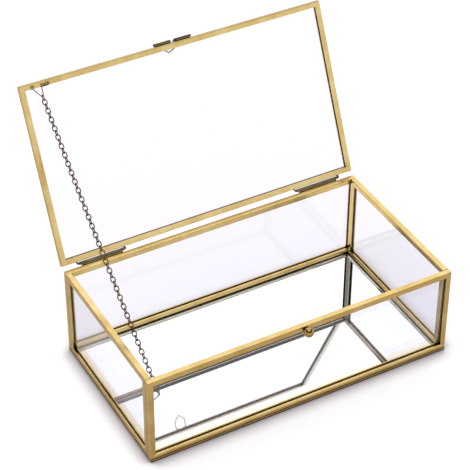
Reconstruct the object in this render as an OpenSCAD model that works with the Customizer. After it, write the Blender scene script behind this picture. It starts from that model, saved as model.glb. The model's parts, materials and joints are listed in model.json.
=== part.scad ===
/* [Box] */
// Length of the box, outside the came
box_len = 254; // [200:1:320]
// Depth of the box, front to back, outside the came
box_depth = 140; // [110:1:180]
// Height of the body, from the table to the top of the rails
body_h = 77.5; // [60:0.5:100]
// Depth of the lid, from its hinge edge to its front edge
lid_depth = 139.4; // [110:0.2:180]
// Gap between the shut lid and the body's rails, which the staple's feet need
lid_gap = 1; // [1:0.1:1.4]
// Angle that the lid opens through, from shut
lid_open = 114.7; // [100:0.1:120]

/* [Came and glass] */
// Thickness of the wall and lid came, across the pane
came_w = 4.8; // [4.2:0.1:6]
// How far a came strip reaches over its pane
came_lip = 4.2; // [3.2:0.1:6]
// Wall between the pane's edge and the outside of the came
came_web = 0.8; // [0.5:0.1:1.2]
// Radius of the came's folded outer edges
came_round = 0.6; // [0.3:0.05:0.9]
// Height of the shallow came round the base
base_h = 2.8; // [2.6:0.1:4]
// Thickness of the glass panes
glass_t = 2; // [1.6:0.1:2.4]
// Thickness of the mirror in the base
mirror_t = 2; // [1.4:0.1:2.2]

/* [Hinge] */
// Length of each hinge tube
hinge_len = 38; // [20:1:60]
// Distance from the end of the box to the near end of a hinge tube
hinge_inset = 13.5; // [10:0.5:30]
// Outside radius of the hinge tubes
hinge_r = 1.2; // [1:0.05:1.5]
// Radius of the wire in the hinge tubes
hinge_wire_r = 0.6; // [0.5:0.05:0.7]
// Running clearance between a wire and the tube that it turns in
running_gap = 0.05; // [0.03:0.01:0.09]
// Distance of the hinge axis behind the back of the box
hinge_back = 1.6; // [1.6:0.1:2.2]
// Height of the hinge axis above the body's rails
hinge_up = 1.2; // [1.2:0.1:1.8]

/* [Latch] */
// Length of each latch tube
latch_tube_len = 14; // [9:0.5:20]
// Gap between the two latch tubes
latch_tube_gap = 3.4; // [3:0.1:5]
// Outside radius of the latch tubes
latch_tube_r = 1; // [0.9:0.05:1.3]
// Radius of the latch loop's wire
latch_wire_r = 0.45; // [0.35:0.05:0.5]
// Distance of the latch's pivot in front of the lid's edge
latch_out = 1.35; // [1.2:0.05:2]
// Height of the latch's pivot above the lid's underside, with the lid shut
latch_up = 3.8; // [3:0.1:4.2]
// Angle between the lid's top and the resting latch loop
latch_rest = 47.5; // [45:0.5:90]
// Drop of the latch loop, from its pivot to its tip
latch_drop = 15.5; // [14.8:0.1:18]
// Width of the latch loop, between the middles of its wires
latch_loop_w = 9.4; // [9:0.1:13]
// Diameter of the ball catch
ball_d = 7.5; // [6:0.1:8]
// Distance of the ball's middle in front of the rail
ball_out = 5; // [4.4:0.1:7]

/* [Chain stay] */
// Wire of the chain's links, as a diameter
link_wire = 0.6; // [0.5:0.05:0.8]
// Width of a link
link_w = 4.1; // [3.6:0.1:4.4]
// Pitch that the links have as near as the span allows
link_pitch = 3.55; // [3.2:0.05:4]
// Free play between two links
link_play = 0.05; // [0.03:0.01:0.1]
// Slope of the chain at its ends against its span, as it sags with the lid open
chain_sag = 2.6; // [0.5:0.1:6]
// Distance of the lower anchor from the left end of the box
eye_x = 11.2; // [9:0.1:13]
// Distance of the lower anchor behind the front of the box
eye_y = 8.2; // [8:0.1:12]
// Drop of the lower anchor below the top of the body
eye_drop = 18; // [12:0.5:30]
// Distance of the upper anchor from the left end of the box
staple_x = 15; // [12:0.5:24]
// Distance of the upper anchor from the lid's front edge, with the lid shut
staple_y = 10.4; // [8:0.1:16]
// Distance of the upper anchor below the lid's underside, with the lid shut
staple_drop = 3.6; // [3:0.1:8]
// Distance of the staple's outer solder bead to the left of the upper anchor
staple_left = 5; // [4:0.1:8]
// Distance of the staple's inner solder bead to the right of the upper anchor
staple_right = 7.6; // [4:0.1:12]
// Radius of the wire of the staple and the chain eye
anchor_wire_r = 0.4; // [0.3:0.05:0.45]

/* [Hidden] */
$fn = 48;

// Sides of a framed panel, as the turn of the strip about the panel's middle
BOTTOM = 0;
LEFT = 90;
TOP = 180;
RIGHT = 270;

came_gold = "#c9a552";
tube_brass = "#a8864a";
chain_gold = "#b8934a";
solder_gold = "#b59a5e";
clear_glass = [0.93, 0.94, 0.97, 0.3];
silver_mirror = "#dfe6ea";

wall_h = body_h - base_h;
side_len = box_depth - 2 * came_w;
lid_front = box_depth / 2 - lid_depth;
past = 1;                       // cutting tools run this far past what they cut
knuckle = 1.15;                 // size of the knuckle at a wire's bend, against the wire

hinge_y = box_depth / 2 + hinge_back;
hinge_z = body_h + hinge_up;
hinge_bore_r = hinge_wire_r + running_gap;
hinge_leg_gap = 0.3;            // between a tube's end and the bent end of its wire
hinge_leg_z = body_h + lid_gap + came_w / 2;
hinge_bead_r = 0.95;

latch_y = lid_front - latch_out;
latch_z = body_h + lid_gap + latch_up;
latch_bore_r = latch_wire_r + running_gap;
latch_leg_x = latch_tube_gap / 2 - latch_wire_r - 0.05;
latch_clear = latch_tube_r + latch_wire_r + 0.4;
latch_shoulder = latch_clear + 1.8;
latch_waist = latch_drop - 5;
latch_flat_r = 0.9 * latch_wire_r;      // half of the hammered loop's thickness

ball_z = body_h - came_lip / 2;
ball_neck_r = 1.3;
ball_foot_r = 2.1;
ball_foot_t = 0.5;

// Anchors of the chain: the eye in the body, and the staple in the lid, shut and open
eye = [eye_x - box_len / 2, eye_y - box_depth / 2, body_h - eye_drop];
staple_shut = [staple_x - box_len / 2, lid_front + staple_y, body_h + lid_gap - staple_drop];
staple = lid_opened(staple_shut);

// A point of the shut lid, where the open lid carries it
function lid_opened(p) =
    let (y = p.y - hinge_y, z = p.z - hinge_z)
    [p.x,
     hinge_y + y * cos(lid_open) + z * sin(lid_open),
     hinge_z - y * sin(lid_open) + z * cos(lid_open)];

// The chain sags in a shallow arc between its anchors, with an even number of links
span = norm([staple.y - eye.y, staple.z - eye.z]);
span_angle = atan2(staple.z - eye.z, staple.y - eye.y);
links = 2 * round(span / (2 * link_pitch));
link_turn = 2 * chain_sag / links;
pitch = span * sin(link_turn / 2) / sin(links * link_turn / 2);
drift_angle = atan((staple.x - eye.x) / span);
link_reach = (pitch / cos(drift_angle) + link_wire + link_play) / 2;    // from a link's middle to its end wire

// The middle of the wire that link k turns on
function chain_point(k) =
    let (chord = pitch * sin(k * link_turn / 2) / sin(link_turn / 2),
         angle = span_angle - chain_sag + k * link_turn / 2)
    eye + [(staple.x - eye.x) * k / links, chord * cos(angle), chord * sin(angle)];

// Section of a came strip: a U channel with rounded folds, its web down and its slot up
module came_section(width, slot) {
    difference() {
        union() {
            translate([-width / 2, came_round]) square([width, came_lip - came_round]);
            translate([came_round - width / 2, 0]) square([width - 2 * came_round, came_round]);
            for (side = [-1, 1])
                translate([side * (width / 2 - came_round), came_round]) circle(r = came_round);
        }
        translate([-slot / 2, came_web]) square([slot, came_lip]);
    }
}

// One came strip along X, mitred at both ends, its web at the bottom
module came_strip(length, width, slot) {
    low = length / 2 + past;
    high = length / 2 - came_lip - past;
    intersection() {
        rotate([90, 0, 90])
            translate([0, 0, -length / 2])
                linear_extrude(length) came_section(width, slot);
        rotate([90, 0, 0])
            translate([0, 0, -width])
                linear_extrude(2 * width)
                    polygon([[-low, -past], [low, -past], [high, came_lip + past], [-high, came_lip + past]]);
    }
}

// One side of the came round an upright panel, w wide and h high, standing on the origin
module came(side, w, h, width, slot) {
    upright = side == LEFT || side == RIGHT;
    reach = upright ? w / 2 : h / 2;
    color(came_gold)
        translate([0, 0, h / 2])
            rotate([0, side, 0])
                translate([0, 0, -reach]) came_strip(upright ? h : w, width, slot);
}

// The pane of a panel, seated on the webs of its came
module pane(w, h, thickness) {
    color(clear_glass)
        translate([came_web - w / 2, -thickness / 2, came_web])
            cube([w - 2 * came_web, thickness, h - 2 * came_web]);
}

module mirror_pane() {
    color(silver_mirror)
        translate([came_web - box_len / 2, -mirror_t / 2, came_web])
            cube([box_len - 2 * came_web, mirror_t, box_depth - 2 * came_web]);
}

module at_front_wall() {
    translate([0, (came_w - box_depth) / 2, base_h]) children();
}

module at_back_wall() {
    translate([0, (box_depth - came_w) / 2, base_h]) children();
}

module at_left_wall() {
    translate([(came_w - box_len) / 2, 0, base_h]) rotate([0, 0, 90]) children();
}

module at_right_wall() {
    translate([(box_len - came_w) / 2, 0, base_h]) rotate([0, 0, 90]) children();
}

// The base lies flat, its bottom side at the front
module at_base() {
    translate([0, -box_depth / 2, base_h / 2]) rotate([-90, 0, 0]) children();
}

// The lid panel lies flat over the rails, its bottom side along the hinge
module at_lid_panel() {
    translate([0, box_depth / 2, body_h + lid_gap + came_w / 2]) rotate([90, 0, 0]) children();
}

// What the lid carries is drawn with the lid shut, and swung open about the hinge
module open_lid() {
    translate([0, hinge_y, hinge_z])
        rotate([-lid_open, 0, 0])
            translate([0, -hinge_y, -hinge_z]) children();
}

// A straight piece of round wire from p to q
module straight_wire(p, q, r) {
    d = q - p;
    translate(p)
        rotate([0, acos(d.z / norm(d)), atan2(d.y, d.x)]) cylinder(r = r, h = norm(d), $fn = 24);
}

// One round wire through a list of points, with a small knuckle at every bend
module bent_wire(points, r) {
    last = len(points) - 1;
    for (i = [0 : last - 1]) straight_wire(points[i], points[i + 1], r);
    for (i = [1 : last - 1]) translate(points[i]) sphere(r = knuckle * r, $fn = 24);
}

// The direction from point i of a path to the next one
function way(path, i) = (path[i + 1] - path[i]) / norm(path[i + 1] - path[i]);

// The mitred corner of a flat path's outline beside its point i
function beside(path, i, r) =
    let (a = way(path, max(i - 1, 0)), b = way(path, min(i, len(path) - 2)))
    path[i] + r / (1 + a * b) * [-a.y - b.y, a.x + b.x];

// A square wire bent along a path in the XY plane
module flat_wire(path, r) {
    last = len(path) - 1;
    translate([0, 0, -r])
        linear_extrude(2 * r)
            polygon(concat([for (i = [0 : last]) beside(path, i, r)],
                           [for (i = [last : -1 : 0]) beside(path, i, -r)]));
}

// The left end of a hinge tube: side is -1 for the left tube and 1 for the right one
function hinge_start(side) =
    side < 0 ? hinge_inset - box_len / 2 : box_len / 2 - hinge_inset - hinge_len;

module hinge_tube(side) {
    color(tube_brass)
        translate([hinge_start(side), hinge_y, hinge_z])
            rotate([0, 90, 0])
                difference() {
                    cylinder(r = hinge_r, h = hinge_len);
                    translate([0, 0, -past]) cylinder(r = hinge_bore_r, h = hinge_len + 2 * past);
                }
}

// Solder between the back rail and the hinge tubes, which it cradles
module hinge_solder() {
    inset = 2;
    foot = 2.6;
    color(solder_gold)
        for (side = [-1, 1])
            translate([hinge_start(side) + inset, box_depth / 2, body_h])
                rotate([90, 0, 90])
                    linear_extrude(hinge_len - 2 * inset)
                        difference() {
                            polygon([
                                [0, -foot], [0, -came_round], [hinge_back - hinge_r, hinge_up / 2],
                                [hinge_back, hinge_up], [hinge_back + hinge_r / 3, hinge_up - hinge_r]
                            ]);
                            translate([hinge_back, hinge_up]) circle(r = hinge_r);
                        }
}

// A bead of solder on the face y = 0, bulging towards +Y
module bead(r) {
    difference() {
        sphere(r = r);
        translate([-r - past, -r - past, -r - past]) cube([2 * (r + past), r + past, 2 * (r + past)]);
    }
}

// The wire in a hinge tube, bent at both ends and soldered to the lid's back edge
module hinge_wire(side) {
    left = hinge_start(side) - hinge_leg_gap - hinge_wire_r;
    right = hinge_start(side) + hinge_len + hinge_leg_gap + hinge_wire_r;
    end_y = box_depth / 2 + hinge_wire_r;
    color(tube_brass) {
        bent_wire([
            [left, end_y, hinge_leg_z], [left, hinge_y, hinge_z],
            [right, hinge_y, hinge_z], [right, end_y, hinge_leg_z]
        ], hinge_wire_r);
        for (x = [left, right])
            translate([x, box_depth / 2, hinge_leg_z]) bead(hinge_bead_r);
    }
}

// The ball that the latch loop drops over, on its turned neck and foot
module ball_catch() {
    color(tube_brass)
        translate([0, -box_depth / 2, ball_z])
            rotate([90, 0, 0]) {
                cylinder(r = ball_foot_r, h = ball_foot_t);
                cylinder(r = ball_neck_r, h = ball_out);
                translate([0, 0, ball_out]) sphere(d = ball_d);
            }
}

module latch_tube(side) {
    middle = side * (latch_tube_gap + latch_tube_len) / 2;
    color(tube_brass)
        translate([middle - latch_tube_len / 2, latch_y, latch_z])
            rotate([0, 90, 0])
                difference() {
                    cylinder(r = latch_tube_r, h = latch_tube_len);
                    translate([0, 0, -past]) cylinder(r = latch_bore_r, h = latch_tube_len + 2 * past);
                }
}

// Solder between the lid's front edge and the latch tubes
module latch_solder() {
    inset = 1;
    below = 0.9;
    above = came_w - came_round - latch_up;
    color(solder_gold)
        for (side = [-1, 1])
            difference() {
                translate([side * (latch_tube_gap + latch_tube_len) / 2 - latch_tube_len / 2 + inset,
                           latch_y, latch_z - below])
                    cube([latch_tube_len - 2 * inset, latch_out, below + above]);
                translate([-box_len / 2, latch_y, latch_z])
                    rotate([0, 90, 0]) cylinder(r = latch_tube_r, h = box_len);
            }
}

// The latch's bent wire: a bar through each tube, and a pointed loop between them
module latch_loop() {
    bar = latch_tube_gap / 2 + latch_tube_len - 1;
    half = latch_loop_w / 2;
    color(tube_brass)
        translate([0, latch_y, latch_z])
            rotate([latch_rest, 0, 0]) {
                flat_wire([
                    [-latch_leg_x, -latch_wire_r], [-latch_leg_x, latch_clear], [-half, latch_shoulder],
                    [-half, latch_waist], [0, latch_drop], [half, latch_waist],
                    [half, latch_shoulder], [latch_leg_x, latch_clear], [latch_leg_x, -latch_wire_r]
                ], latch_flat_r);
                for (side = [-1, 1])
                    rotate([0, side * 90, 0])
                        translate([0, 0, latch_leg_x]) cylinder(r = latch_wire_r, h = bar - latch_leg_x);
            }
}

// A link of the chain, lying in the XY plane along Y
module link() {
    bend_r = (link_w - link_wire) / 2;
    straight = 2 * (link_reach - bend_r);
    for (end = [0, 180])
        rotate([0, 0, end]) {
            translate([0, straight / 2, 0])
                rotate_extrude(angle = 180, $fn = 24) translate([bend_r, 0]) circle(d = link_wire, $fn = 16);
            translate([bend_r, -straight / 2, 0])
                rotate([-90, 0, 0]) cylinder(d = link_wire, h = straight, $fn = 16);
        }
}

// The chain: every link is turned a quarter turn against its neighbours
module stay_chain() {
    color(chain_gold)
        for (k = [0 : links - 1])
            translate(chain_point(k))
                rotate([span_angle - chain_sag + (k + 0.5) * link_turn, 0, 0])
                    rotate([0, 0, -drift_angle])
                        translate([0, link_reach, 0]) rotate([0, k % 2 * 90, 0]) link();
}

// The ring that holds the chain's lower end, on a stem soldered to the left wall's front stile
module chain_eye() {
    ring_r = 1.6;
    seat = anchor_wire_r + link_wire / 2 + link_play;
    along = [0, cos(span_angle - chain_sag), sin(span_angle - chain_sag)];
    ring = eye + (seat - ring_r) * along;
    heel = ring - ring_r * along;
    bead_r = 1.1;
    foot = [came_w - box_len / 2, came_w + came_lip / 2 - box_depth / 2, heel.z - 5];
    color(chain_gold) {
        translate(ring)
            rotate([0, 90, 0]) rotate_extrude($fn = 32) translate([ring_r, 0]) circle(r = anchor_wire_r, $fn = 20);
        straight_wire(foot + (heel - foot) * 0.6 / norm(heel - foot), heel, 0.9 * anchor_wire_r);
        translate(foot) rotate([0, 0, -90]) bead(bead_r);
    }
}

// The bent wire that holds the chain's upper end, soldered under the lid's front rail
module chain_staple() {
    under = body_h + lid_gap;
    pad_r = 1.5;
    pad_t = 0.65 * lid_gap;
    pad_y = lid_front + came_lip - pad_r + 0.2;
    wire_r = 0.24 * lid_gap;
    start = [lid_front + came_lip - 0.2, under - pad_t / 2];
    fall = [staple_shut.y, staple_shut.z] - start;
    tip = 0.8;                  // half of the flat that the chain's last link hangs on
    heel = 1.9;                 // the inner leg comes up here, and runs on along the rail
    color(chain_gold) {
        translate([staple_shut.x, start.x, start.y])
            rotate([atan2(fall.y, fall.x), 0, 0])
                flat_wire([
                    [-staple_left, 0], [-tip, norm(fall)], [tip, norm(fall)], [heel, 0], [staple_right, 0]
                ], wire_r);
        for (x = [-staple_left, heel + pad_r, staple_right])
            translate([staple_shut.x + x, pad_y, under - pad_t]) cylinder(r = pad_r, h = pad_t);
    }
}

at_front_wall() pane(box_len, wall_h, glass_t);  // front_glass
at_front_wall() came(TOP, box_len, wall_h, came_w, glass_t);  // front_top_rail
at_front_wall() came(BOTTOM, box_len, wall_h, came_w, glass_t);  // front_bottom_rail
at_front_wall() came(LEFT, box_len, wall_h, came_w, glass_t);  // front_left_stile
at_front_wall() came(RIGHT, box_len, wall_h, came_w, glass_t);  // front_right_stile
at_back_wall() pane(box_len, wall_h, glass_t);  // back_glass
at_back_wall() came(TOP, box_len, wall_h, came_w, glass_t);  // back_top_rail
at_back_wall() came(BOTTOM, box_len, wall_h, came_w, glass_t);  // back_bottom_rail
at_back_wall() came(LEFT, box_len, wall_h, came_w, glass_t);  // back_left_stile
at_back_wall() came(RIGHT, box_len, wall_h, came_w, glass_t);  // back_right_stile
at_left_wall() pane(side_len, wall_h, glass_t);  // left_glass
at_left_wall() came(TOP, side_len, wall_h, came_w, glass_t);  // left_top_rail
at_left_wall() came(BOTTOM, side_len, wall_h, came_w, glass_t);  // left_bottom_rail
at_left_wall() came(LEFT, side_len, wall_h, came_w, glass_t);  // left_front_stile
at_left_wall() came(RIGHT, side_len, wall_h, came_w, glass_t);  // left_back_stile
at_right_wall() pane(side_len, wall_h, glass_t);  // right_glass
at_right_wall() came(TOP, side_len, wall_h, came_w, glass_t);  // right_top_rail
at_right_wall() came(BOTTOM, side_len, wall_h, came_w, glass_t);  // right_bottom_rail
at_right_wall() came(LEFT, side_len, wall_h, came_w, glass_t);  // right_front_stile
at_right_wall() came(RIGHT, side_len, wall_h, came_w, glass_t);  // right_back_stile
at_base() mirror_pane();  // base_mirror
at_base() came(BOTTOM, box_len, box_depth, base_h, mirror_t);  // base_front_came
at_base() came(TOP, box_len, box_depth, base_h, mirror_t);  // base_back_came
at_base() came(LEFT, box_len, box_depth, base_h, mirror_t);  // base_left_came
at_base() came(RIGHT, box_len, box_depth, base_h, mirror_t);  // base_right_came
open_lid() at_lid_panel() pane(box_len, lid_depth, glass_t);  // lid_glass
open_lid() at_lid_panel() came(TOP, box_len, lid_depth, came_w, glass_t);  // lid_front_rail
open_lid() at_lid_panel() came(BOTTOM, box_len, lid_depth, came_w, glass_t);  // lid_hinge_rail
open_lid() at_lid_panel() came(LEFT, box_len, lid_depth, came_w, glass_t);  // lid_left_rail
open_lid() at_lid_panel() came(RIGHT, box_len, lid_depth, came_w, glass_t);  // lid_right_rail
hinge_tube(-1);  // hinge_tube_left
hinge_tube(1);  // hinge_tube_right
hinge_solder();
open_lid() hinge_wire(-1);  // hinge_wire_left
open_lid() hinge_wire(1);  // hinge_wire_right
ball_catch();
open_lid() latch_tube(-1);  // latch_tube_left
open_lid() latch_tube(1);  // latch_tube_right
open_lid() latch_solder();
open_lid() latch_loop();
chain_eye();
open_lid() chain_staple();
stay_chain();
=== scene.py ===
"""The wedding card box: mirrored base, glass walls in brass came, and a lid held open by a chain."""
import json
import math

import bpy
import numpy as np
from mathutils import Matrix, Vector


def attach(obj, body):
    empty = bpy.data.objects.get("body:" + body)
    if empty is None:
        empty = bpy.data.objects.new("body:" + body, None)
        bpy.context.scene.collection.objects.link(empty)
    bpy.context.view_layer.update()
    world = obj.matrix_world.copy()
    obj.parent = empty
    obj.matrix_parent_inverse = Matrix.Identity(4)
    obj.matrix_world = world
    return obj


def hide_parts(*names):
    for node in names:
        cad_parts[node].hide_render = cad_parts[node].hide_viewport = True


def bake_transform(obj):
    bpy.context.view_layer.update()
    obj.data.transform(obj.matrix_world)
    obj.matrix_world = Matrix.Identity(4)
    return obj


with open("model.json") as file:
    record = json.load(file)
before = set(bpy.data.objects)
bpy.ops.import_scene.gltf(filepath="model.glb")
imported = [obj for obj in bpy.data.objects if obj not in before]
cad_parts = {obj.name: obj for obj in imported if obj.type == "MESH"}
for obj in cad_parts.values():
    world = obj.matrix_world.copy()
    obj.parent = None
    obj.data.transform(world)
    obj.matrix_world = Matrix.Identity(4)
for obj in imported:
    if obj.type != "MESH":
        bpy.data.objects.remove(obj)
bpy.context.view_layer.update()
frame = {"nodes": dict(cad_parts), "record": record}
MM = 0.001

# ---------------------------------------------------------------- dimensions, in mm
HINGE = np.array((0.0, 71.6, 78.7))
LID_OPEN = math.radians(114.7)
LATCH_AXIS = np.array((0.0, -70.75, 82.3))      # with the lid shut
LATCH_REST = math.radians(47.5)
LATCH_LEG = 1.2
LATCH_HALF = 4.7
LATCH_BAR = 14.7
LATCH_CLEAR = 1.85
LATCH_SHOULDER = 3.65
LATCH_WAIST = 10.5
LATCH_DROP = 15.5
LATCH_WIRE = 0.45
LINKS = 66
LINK_WIRE = 0.85
LINK_WIDTH = 4.1
LINK_PLAY = 0.05
EYE = np.array((-115.8, -61.8, 59.5))
STAPLE_SHUT = np.array((-112.0, -59.0, 74.9))
STAPLE_START = np.array((-112.0, -65.4, 78.1))
STAPLE_FEET = (-5.0, 1.9, 7.6)                  # left foot, heel and inner end, along the rail
STAPLE_TIP = 0.8
STAPLE_WIRE = 0.36
STAPLE_BEADS = (                                # name, middle seen from the staple's start, half sizes
    ("staple_bead_left", (-5.2, -1.1, 0.4), (1.7, 1.6, 0.8)),
    ("staple_bead_heel", (2.8, -1.1, 0.4), (1.3, 1.3, 0.75)),
    ("staple_bead_right", (6.6, -1.2, 0.4), (2.0, 1.3, 0.75)),
)
CHAIN_SAG = math.radians(2.6)
BASE_TOP = 2.8                                  # where the wall frames stand on the base frame
CREASE = 0.18                                   # the worn edges of the came
CREASE_ANGLE = math.radians(40)                 # edges sharper than this are worn
SWEEP_REACH = 6000.0                            # of the paper sweep, each way

# ---------------------------------------------------------------- view, light and reflections
VIEW_PLACE = (-0.517618, -0.899107, 0.933646)   # metres
VIEW_TURN = (51.6382, -0.1441, -28.8729)        # degrees
VIEW_LENS = 137.944
KEY_PLACE = (-500, 700, 1500)
KEY_TARGET = (0, 0, 60)
KEY_SIZE = (800, 600)
KEY_POWER = 3.5                                 # watts
BACK_PANEL = (0.36, 0.63, 0.69)                 # where the studio's panels stand, as directions
FRONT_PANEL = (0.38, -0.69, 0.62)
REFLECTION_PAINT_TONE = "#d8ccb2"                       # brass where a mirror shows it: a painted reflection, paler than its own tones


# ---------------------------------------------------------------- nodes and materials
def linear(hex_colour):
    """The linear colour of an sRGB hex colour."""
    value = hex_colour.lstrip("#")
    parts = [int(value[i:i + 2], 16) / 255 for i in (0, 2, 4)]
    return [p / 12.92 if p <= 0.04045 else ((p + 0.055) / 1.055) ** 2.4 for p in parts] + [1.0]


def add_node(tree, kind, settings=None, inputs=None):
    """A node of that kind, with its settings and inputs; an input given as a socket is linked."""
    node = tree.nodes.new(kind)
    for name, value in (settings or {}).items():
        setattr(node, name, value)
    for name, value in (inputs or {}).items():
        if isinstance(value, bpy.types.NodeSocket):
            tree.links.new(value, node.inputs[name])
        else:
            node.inputs[name].default_value = value
    return node


def new_material(name, roughness=None, metallic=0.0):
    """A material's tree, its Principled shader and its Object coordinates in mm."""
    material = bpy.data.materials.new(name)
    material.use_nodes = True
    tree = material.node_tree
    tree.nodes.clear()
    shader = add_node(tree, "ShaderNodeBsdfPrincipled", inputs={"Metallic": metallic})
    if roughness is not None:
        shader.inputs["Roughness"].default_value = roughness
    output = add_node(tree, "ShaderNodeOutputMaterial")
    tree.links.new(shader.outputs["BSDF"], output.inputs["Surface"])
    coordinates = add_node(tree, "ShaderNodeTexCoord")
    scale = add_node(tree, "ShaderNodeMapping", inputs={
        "Vector": coordinates.outputs["Object"], "Scale": (1000, 1000, 1000)})
    return material, tree, shader, scale.outputs["Vector"]


def noise(tree, vector, size_mm, detail=3.0):
    """Noise with blotches about size_mm across."""
    return add_node(tree, "ShaderNodeTexNoise", inputs={
        "Vector": vector, "Scale": 1.0 / size_mm, "Detail": detail}).outputs["Fac"]


def ramp(tree, factor, stops):
    """A colour ramp over the factor, as (position, hex colour) stops."""
    node = add_node(tree, "ShaderNodeValToRGB", inputs={"Fac": factor})
    elements = node.color_ramp.elements
    while len(elements) < len(stops):
        elements.new(0.5)
    for element, (position, colour) in zip(elements, stops):
        element.position = position
        element.color = linear(colour)
    return node.outputs["Color"]


def spread(tree, factor, start, end, low=0.0, high=1.0):
    """The factor, taken from start to end, spread between low and high."""
    node = add_node(tree, "ShaderNodeMapRange", inputs={
        "Value": factor, "From Min": start, "From Max": end, "To Min": low, "To Max": high})
    return node.outputs["Result"]


def calculate(tree, operation, first, second=0.0):
    """The result of a Math node's operation on two values."""
    return add_node(tree, "ShaderNodeMath", {"operation": operation}, {0: first, 1: second}).outputs["Value"]


def greater(tree, first, second):
    """The greater of two values."""
    return calculate(tree, "MAXIMUM", first, second)


def lesser(tree, first, second):
    """The lesser of two values."""
    return calculate(tree, "MINIMUM", first, second)


def blend_colours(tree, factor, first, second):
    """The first colour at factor 0 and the second at factor 1."""
    return add_node(tree, "ShaderNodeMix", {"data_type": "RGBA"}, {0: factor, 6: first, 7: second}).outputs[2]


def mirrored_ray(tree):
    """One for a ray that a surface mirrors, and nothing for one seen straight or through glass."""
    path = add_node(tree, "ShaderNodeLightPath").outputs
    return calculate(tree, "SUBTRACT", path["Is Glossy Ray"], path["Is Transmission Ray"])


def unshaded_share(tree, height, corner):
    """How free brass is of painted shade: one in the open, nothing in its corners, where that shade reaches
    corner mm, nothing at the table and a fifth on the seam between the base frame and the walls. Height is in
    mm."""
    # painted shade: ambient occlusion, the foot on the table and the seam make the brass darker
    open_air = add_node(tree, "ShaderNodeAmbientOcclusion", {"samples": 8}, {"Distance": corner * MM})
    off_corner = spread(tree, open_air.outputs["AO"], 0.55, 0.9)
    off_table = spread(tree, height, 1.1, 1.6)
    seam_distance = calculate(tree, "ABSOLUTE", calculate(tree, "SUBTRACT", height, BASE_TOP))
    off_seam = spread(tree, seam_distance, 0.3, 0.8, 0.2, 1.0)
    return lesser(tree, off_corner, lesser(tree, off_table, off_seam))


def polished_normal(tree, vector, height, wave, lean):
    """The normal of polished brass: rolling in waves of that size and height in mm, and leaning upward, by
    nothing 3 mm above the table and by lean from 6 mm up, to mirror more of what is overhead than its shape
    does. The lean is set for the look."""
    rolling = add_node(tree, "ShaderNodeBump", inputs={
        "Height": noise(tree, vector, wave[0]), "Strength": 1.0, "Distance": wave[1] * MM})
    upward = add_node(tree, "ShaderNodeCombineXYZ", inputs={"Z": spread(tree, height, 3.0, 6.0, 0.0, lean)})
    leaning = add_node(tree, "ShaderNodeVectorMath", {"operation": "ADD"}, {
        0: rolling.outputs["Normal"], 1: upward.outputs["Vector"]})
    return add_node(tree, "ShaderNodeVectorMath", {"operation": "NORMALIZE"}, {
        0: leaning.outputs["Vector"]}).outputs["Vector"]


def lacquered_brass(name, tones, roughness, wave, corner, shade_and_patina, lean=0.0):
    """Polished brass under clear lacquer.

    It mirrors its surroundings softly, a little unevenly where the cloth polished it, and is painted dark
    brown in its corners, at its foot and on its seam: painted shade there, with some patina of flux and
    polish in the corners. Where a mirror shows it, it takes a paler tone instead of its own, a painted
    reflection set for the look.
    """
    material, tree, shader, vector = new_material(name, metallic=1.0)
    tone = ramp(tree, noise(tree, vector, 16.0), [(0.3, tones[0]), (0.5, tones[1]), (0.7, tones[2])])
    # painted reflection: where a mirror shows the brass, it takes a paler tone than its own
    seen_tone = blend_colours(tree, mirrored_ray(tree), tone, linear(REFLECTION_PAINT_TONE))
    height = add_node(tree, "ShaderNodeSeparateXYZ", inputs={"Vector": vector}).outputs["Z"]
    unshaded = unshaded_share(tree, height, corner)
    # painted shade: the brass goes to its dark brown in corners, at the foot and on the seam
    tree.links.new(blend_colours(tree, unshaded, linear(shade_and_patina), seen_tone), shader.inputs["Base Color"])
    polish = spread(tree, noise(tree, vector, 3.0), 0.3, 0.7, roughness[0], roughness[1])
    tree.links.new(polish, shader.inputs["Roughness"])
    tree.links.new(polished_normal(tree, vector, height, wave, lean), shader.inputs["Normal"])
    return material


def clear_glass():
    """Clear float glass: smooth, and a trace of lavender in what is seen through it."""
    material, _, shader, _ = new_material("clear_float_glass", roughness=0.0)
    shader.inputs["Base Color"].default_value = linear("#f5f3fa")
    shader.inputs["IOR"].default_value = 1.45
    shader.inputs["Transmission Weight"].default_value = 1.0
    return material


def silvered_mirror():
    """Silvered mirror glass: a sharp reflection, very slightly grey. Its colour is warmed along its
    front and left edges, to stand for light thrown off the rails there."""
    material, tree, shader, vector = new_material("silvered_mirror_glass", roughness=0.0, metallic=1.0)
    silver = ramp(tree, noise(tree, vector, 60.0), [(0.3, "#f3f5f8"), (0.7, "#f6f8fa")])
    place = add_node(tree, "ShaderNodeSeparateXYZ", inputs={"Vector": vector}).outputs
    from_front = spread(tree, place["Y"], -62.0, -52.0)
    from_left = spread(tree, place["X"], -117.5, -115.0)
    warmed = blend_colours(tree, from_front, linear("#f3e3b8"), silver)
    tree.links.new(blend_colours(tree, from_left, linear("#e6d6b4"), warmed), shader.inputs["Base Color"])
    return material


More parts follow.
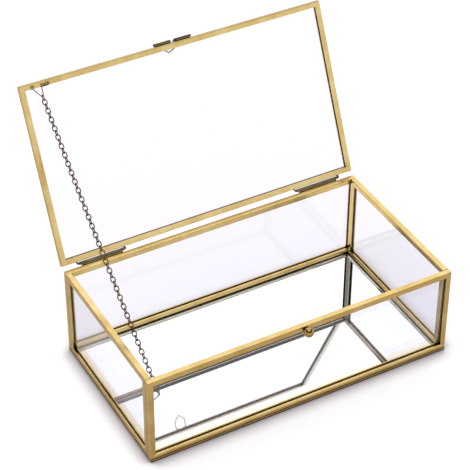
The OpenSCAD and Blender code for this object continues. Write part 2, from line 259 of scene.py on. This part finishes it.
def white_paper():
    """White paper under the box, with a contact shadow painted in: greyer where the box stands close. The
    camera and the glass see it lit up to white, apart from that shade; the metal and the mirror see it
    dimmer."""
    material, tree, shader, _ = new_material("white_paper_sweep", roughness=0.9)
    path = add_node(tree, "ShaderNodeLightPath").outputs
    open_air = add_node(tree, "ShaderNodeAmbientOcclusion", {"samples": 16}, {"Distance": 13.0 * MM})
    lit = spread(tree, open_air.outputs["AO"], 0.5, 1.0)
    paper = blend_colours(tree, mirrored_ray(tree), linear("#f7f6f8"), linear("#c2bcb4"))
    paper = blend_colours(tree, path["Is Transmission Ray"], paper, linear("#898889"))
    # painted contact shadow: lavender grey where the box stands close
    tree.links.new(blend_colours(tree, lit, linear("#bab5c0"), paper), shader.inputs["Base Color"])
    glow = greater(tree, spread(tree, path["Is Camera Ray"], 0.0, 1.0, 0.0, 0.25),
                   spread(tree, path["Is Transmission Ray"], 0.0, 1.0, 0.0, 0.86))
    shader.inputs["Emission Color"].default_value = linear("#ffffff")
    tree.links.new(calculate(tree, "MULTIPLY", glow, lit), shader.inputs["Emission Strength"])
    shader.inputs["Specular IOR Level"].default_value = 0.0
    return material


# tones, roughness, wave size and height in mm, reach of the painted shade in a corner in mm, and the brown of
# painted shade and patina
CAME_FINISH = (("#dfbd74", "#ecca84", "#f3d896"), (0.16, 0.26), (9.0, 0.02), 1.5, "#231808")
CAME = lacquered_brass("polished_brass_came", *CAME_FINISH)
LOW_CAME = lacquered_brass("polished_brass_foot_came", *CAME_FINISH, lean=0.5)
TUBE = lacquered_brass("antique_brass_tube", ("#6b5640", "#8c7558", "#b39c7a"), (0.24, 0.36),
                       (5.0, 0.02), 1.5, "#2a1d0e")
BALL = lacquered_brass("turned_brass_ball", ("#b08f50", "#c29f5c", "#d0b070"), (0.08, 0.14),
                       (4.0, 0.005), 1.5, "#35260f")
CHAIN = lacquered_brass("brass_chain_wire", ("#624c2b", "#7c6239", "#9a7b4b"), (0.2, 0.3),
                        (2.0, 0.005), 0.9, "#2c2010")
SOLDER = lacquered_brass("gilded_solder", ("#b29a62", "#c8ae73", "#dcc48a"), (0.22, 0.4),
                         (1.2, 0.05), 1.5, "#2a1a08")
GLASS = clear_glass()
MIRROR = silvered_mirror()
PAPER = white_paper()


# ---------------------------------------------------------------- modelled wires and beads
def unit(vectors):
    """The vectors, each made one long."""
    return vectors / np.linalg.norm(vectors, axis=-1, keepdims=True)


def turning(axis, angle):
    """The rotation matrix of an angle about an axis."""
    return np.array(Matrix.Rotation(angle, 3, axis))


def opened(points):
    """Points of the shut lid, where the open lid carries them: turned by the lid's angle about its hinge."""
    return HINGE + (points - HINGE) @ turning("X", -LID_OPEN).T


def new_piece(name, vertices, faces, material, body):
    """A smooth mesh piece from points in mm, riding on a body."""
    mesh = bpy.data.meshes.new(name)
    mesh.from_pydata((vertices * MM).tolist(), [], faces)
    mesh.materials.append(material)
    mesh.polygons.foreach_set("use_smooth", [True] * len(mesh.polygons))
    piece = bpy.data.objects.new(name, mesh)
    bpy.context.scene.collection.objects.link(piece)
    if body:
        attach(piece, body)
    return piece


def grid_faces(rows, columns, closed=False):
    """The quads of a grid whose columns close round, and whose rows do too if closed; ends get a cap."""
    first = np.arange(rows if closed else rows - 1)[:, None] * columns
    beyond = (first + columns) % (rows * columns)
    here = np.arange(columns)[None]
    there = (here + 1) % columns
    faces = np.stack([first + here, first + there, beyond + there, beyond + here], -1).reshape(-1, 4).tolist()
    if not closed:
        faces += [list(range(columns))[::-1], list(range((rows - 1) * columns, rows * columns))]
    return faces


def wire(path, normal, radius, sides=16, closed=False):
    """Round wire along a flat path: point (i, k) = path_i + radius (cos t_k n + sin t_k s_i), where t_k goes
    round the wire, n is the normal of the path's plane and s_i lies in that plane, square to the path."""
    ahead = np.roll(path, -1, axis=0)
    behind = np.roll(path, 1, axis=0)
    if not closed:
        ahead[-1] = path[-1]
        behind[0] = path[0]
    side = np.cross(unit(ahead - behind), normal)
    turn = np.linspace(0, 2 * np.pi, sides, endpoint=False)[:, None]
    points = path[:, None] + radius * (np.cos(turn) * normal + np.sin(turn) * side[:, None])
    return points.reshape(-1, 3), grid_faces(len(path), sides, closed)


def rounded(points, radius, steps=7):
    """The path with an arc at each inner corner: arc point = middle + (start sin((1 - s) w) + end sin(s w))
    / sin w, where w is the arc's angle, s goes from 0 to 1, and start and end touch the two sides."""
    corner = points[1:-1]
    back = unit(points[:-2] - corner)
    on = unit(points[2:] - corner)
    half = (np.arccos((back * on).sum(-1)) / 2)[:, None]
    middle = corner + unit(back + on) * radius / np.sin(half)
    start = (corner + back * radius / np.tan(half) - middle)[:, None]
    end = (corner + on * radius / np.tan(half) - middle)[:, None]
    sweep = (np.pi - 2 * half)[:, None]
    share = np.linspace(0, 1, steps)[None, :, None]
    between = (start * np.sin((1 - share) * sweep) + end * np.sin(share * sweep)) / np.sin(sweep)
    arcs = middle[:, None] + between
    return np.concatenate([points[:1], arcs.reshape(-1, 3), points[-1:]])


def latch_loop():
    """The latch wire: a bar in both tubes and a pointed loop between them, bent from one round wire."""
    half = np.array([(LATCH_BAR, 0), (LATCH_LEG, 0), (LATCH_LEG, LATCH_CLEAR), (LATCH_HALF, LATCH_SHOULDER),
                     (LATCH_HALF, LATCH_WAIST), (0, LATCH_DROP)])
    flat = np.concatenate([half[:-1] * (-1, 1), half[::-1]])
    points = np.pad(flat, ((0, 0), (0, 1)))
    turn = turning("X", -LID_OPEN) @ turning("X", LATCH_REST)
    path = opened(LATCH_AXIS) + rounded(points, 0.6) @ turn.T
    piece = new_piece("latch_loop_wire", *wire(path, turn @ (0, 0, 1), LATCH_WIRE), TUBE, "latch")
    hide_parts("latch_loop")


def chain_staple():
    """The staple under the lid's front rail: round wire down to a flat tip that the chain hangs on, up again
    to its heel and on along the rail, in a plane that slopes from the rail to the tip."""
    left, heel, end = STAPLE_FEET
    fall = STAPLE_SHUT - STAPLE_START
    depth = np.linalg.norm(fall)
    flat = np.array([(left, 0), (-STAPLE_TIP, depth), (STAPLE_TIP, depth), (heel, 0), (end, 0)])
    slope = unit(fall)
    points = STAPLE_START + flat[:, :1] * (1, 0, 0) + flat[:, 1:] * slope
    path = opened(rounded(points, 0.4))
    normal = turning("X", -LID_OPEN) @ np.cross((1, 0, 0), slope)
    piece = new_piece("chain_staple_wire", *wire(path, normal, STAPLE_WIRE), CHAIN, "lid")
    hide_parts("chain_staple")


def solder_bead(name, middle, size):
    """A bead of solder under the shut lid's rail: point (i, k) = middle + size (cos a_i cos t_k w_k,
    cos a_i sin t_k w_k, sin a_i), with a_i from pole to pole, t_k round it, and w_k = 1 + 0.08 cos 3 t_k."""
    rows = 13
    columns = 24
    rise = np.radians(np.linspace(-86, 86, rows))[:, None]
    turn = np.linspace(0, 2 * np.pi, columns, endpoint=False)[None]
    wave = 1 + 0.08 * np.cos(3 * turn)
    ball = np.stack([np.cos(rise) * np.cos(turn) * wave, np.cos(rise) * np.sin(turn) * wave,
                     np.sin(rise) + 0 * turn], -1)
    points = opened(np.array(middle) + ball.reshape(-1, 3) * size)
    piece = new_piece(name, points, grid_faces(rows, columns), SOLDER, "lid")


def link():
    """A link in the XY plane along Y: a closed round wire along two half circles, straight between them."""
    bend = (LINK_WIDTH - LINK_WIRE) / 2
    turn = np.linspace(0, np.pi, 9)
    cap = np.stack([bend * np.cos(turn), LINK_REACH - bend + bend * np.sin(turn), 0 * turn], -1)
    return wire(np.concatenate([cap, -cap]), np.array((0, 0, 1.0)), LINK_WIRE / 2, 10, closed=True)


def stay_chain():
    """The chain: links at equal pitch on a shallow arc of twice CHAIN_SAG between the eye and the staple.
    Link k stands a quarter turn round against its neighbours, leans over by DRIFT and is turned up by the
    arc's slope at its middle. The first link's wire runs 0.06 mm into the eye's. With the lid shut the blend
    squeezes and draws out the links, and a few of them cut through each other."""
    k = np.arange(LINKS)
    turn = 2 * CHAIN_SAG / LINKS
    chord = PITCH * np.sin(k * turn / 2) / np.sin(turn / 2)
    angle = SPAN_ANGLE - CHAIN_SAG + k * turn / 2
    across = k * (STAPLE[0] - EYE[0]) / LINKS
    start = EYE + np.stack([across, chord * np.cos(angle), chord * np.sin(angle)], -1)
    shape, faces = link()
    pair = np.stack([shape, shape @ turning("Y", math.pi / 2).T]) + (0, LINK_REACH, 0)
    x, y, z = np.moveaxis((pair @ turning("Z", -DRIFT).T)[k % 2], -1, 0)
    lie = (SPAN_ANGLE - CHAIN_SAG + (k + 0.5) * turn)[:, None]
    turned = np.stack([x, y * np.cos(lie) - z * np.sin(lie), y * np.sin(lie) + z * np.cos(lie)], -1)
    points = (start[:, None] + turned).reshape(-1, 3)
    link_faces = np.array(faces)[None] + k[:, None, None] * len(shape)
    all_faces = link_faces.reshape(-1, 4).tolist()
    piece = new_piece("stay_chain_links", points, all_faces, CHAIN, None)
    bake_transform(piece)
    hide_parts("stay_chain")


STAPLE = opened(STAPLE_SHUT)
SPAN = math.hypot(STAPLE[1] - EYE[1], STAPLE[2] - EYE[2])
SPAN_ANGLE = math.atan2(STAPLE[2] - EYE[2], STAPLE[1] - EYE[1])
PITCH = SPAN * math.sin(CHAIN_SAG / LINKS) / math.sin(CHAIN_SAG)
DRIFT = math.atan((STAPLE[0] - EYE[0]) / SPAN)
LINK_REACH = (PITCH / math.cos(DRIFT) + LINK_WIRE + LINK_PLAY) / 2
latch_loop()
chain_staple()
for bead_name, bead_offset, bead_size in STAPLE_BEADS:
    solder_bead(bead_name, STAPLE_START + bead_offset, bead_size)
stay_chain()


# ---------------------------------------------------------------- finishes of the CAD nodes
def finish_nodes():
    """Gives every CAD node the material of its slot, but the ball and the bottom rails their own brass, and
    gives the came a slight crease at its edges."""
    by_slot = {"came": CAME, "fitting": TUBE, "chain": CHAIN, "solder": SOLDER,
               "glass": GLASS, "mirror": MIRROR}
    for part in frame["record"]["subparts"]:
        node = frame["nodes"][part["node"]]
        material = by_slot[part["material_slot"]]
        if part["node"] == "ball_catch":
            material = BALL
        if "bottom_rail" in part["node"]:
            material = LOW_CAME
        node.data.materials.clear()
        node.data.materials.append(material)
        if part["material_slot"] == "came":
            crease = node.modifiers.new("worn_edges", "BEVEL")
            crease.width = CREASE * MM
            crease.segments = 2
            crease.limit_method = "ANGLE"
            crease.angle_limit = CREASE_ANGLE


finish_nodes()


# ---------------------------------------------------------------- stage, light and camera
def paper_sweep():
    """A wide white sheet on the table."""
    reach = SWEEP_REACH
    corners = np.array([(-reach, -reach, 0), (reach, -reach, 0), (reach, reach, 0), (-reach, reach, 0)])
    new_piece("paper_sweep", corners, [(0, 1, 2, 3)], PAPER, None)


def sharp_level(tree, path, soft, sharp):
    """The soft level where rough brass looks, and the sharp one where the mirror and the glass look."""
    return spread(tree, path["Is Singular Ray"], 0.0, 1.0, soft, sharp)


def panel(tree, direction, toward, start, end, level):
    """A soft-edged panel of that level, which grows as the direction's dot product with toward goes from
    start to end."""
    nearness = add_node(tree, "ShaderNodeVectorMath", {"operation": "DOT_PRODUCT"}, {
        0: direction, 1: toward}).outputs["Value"]
    return spread(tree, nearness, start, end, 0.0, level)


def studio_world():
    """A white studio round the box, as the metal and the glass see it: a white band at the horizon, a bright
    panel overhead, one high up at the back right and, for the mirror and the glass alone, one in front. It is
    dark between them, less so for the mirror and the glass. All else sees plain white."""
    world = bpy.data.worlds.new("white_studio")
    bpy.context.scene.world = world
    world.use_nodes = True
    tree = world.node_tree
    tree.nodes.clear()
    direction = add_node(tree, "ShaderNodeTexCoord").outputs["Generated"]
    height = add_node(tree, "ShaderNodeSeparateXYZ", inputs={"Vector": direction}).outputs["Z"]
    path = add_node(tree, "ShaderNodeLightPath").outputs
    band = spread(tree, height, 0.30, 0.42, 0.95, sharp_level(tree, path, 0.06, 0.38))
    overhead = spread(tree, height, 0.84, 0.90, 0.0, 1.25)
    back = panel(tree, direction, BACK_PANEL, 0.80, 0.88, sharp_level(tree, path, 1.22, 1.65))
    front = panel(tree, direction, FRONT_PANEL, 0.82, 0.92, sharp_level(tree, path, 0.0, 0.9))
    level = greater(tree, greater(tree, band, overhead), greater(tree, back, front))
    studio = add_node(tree, "ShaderNodeBackground", inputs={"Color": linear("#f5fafd"), "Strength": level})
    white = add_node(tree, "ShaderNodeBackground", inputs={"Color": (1, 1, 1, 1), "Strength": 1.0})
    mirrored = greater(tree, path["Is Glossy Ray"], path["Is Transmission Ray"])
    direct = calculate(tree, "LESS_THAN", path["Diffuse Depth"], 0.5)
    mix = add_node(tree, "ShaderNodeMixShader", inputs={
        "Fac": calculate(tree, "MULTIPLY", mirrored, direct),
        1: white.outputs["Background"], 2: studio.outputs["Background"]})
    output = add_node(tree, "ShaderNodeOutputWorld")
    tree.links.new(mix.outputs["Shader"], output.inputs["Surface"])


def softbox(name, place, target, size, power):
    """A rectangular soft light at a place in mm, facing a target. The metal doesn't mirror it: it sees the
    studio's panels instead."""
    data = bpy.data.lights.new(name, "AREA")
    data.shape = "RECTANGLE"
    data.size = size[0] * MM
    data.size_y = size[1] * MM
    data.energy = power
    light = bpy.data.objects.new(name, data)
    light.location = Vector(place) * MM
    light.rotation_euler = (Vector(target) - Vector(place)).to_track_quat("-Z", "Y").to_euler()
    light.visible_glossy = False
    bpy.context.scene.collection.objects.link(light)


def camera():
    """The main view, from the front left and above."""
    data = bpy.data.cameras.new("view")
    data.lens = VIEW_LENS
    data.sensor_width = 36.0
    data.clip_end = 20.0
    view = bpy.data.objects.new("view", data)
    view.location = VIEW_PLACE
    view.rotation_euler = [math.radians(angle) for angle in VIEW_TURN]
    bpy.context.scene.collection.objects.link(view)
    bpy.context.scene.camera = view


paper_sweep()
studio_world()
softbox("key", KEY_PLACE, KEY_TARGET, KEY_SIZE, KEY_POWER)
camera()
bpy.context.scene.view_settings.view_transform = "Standard"
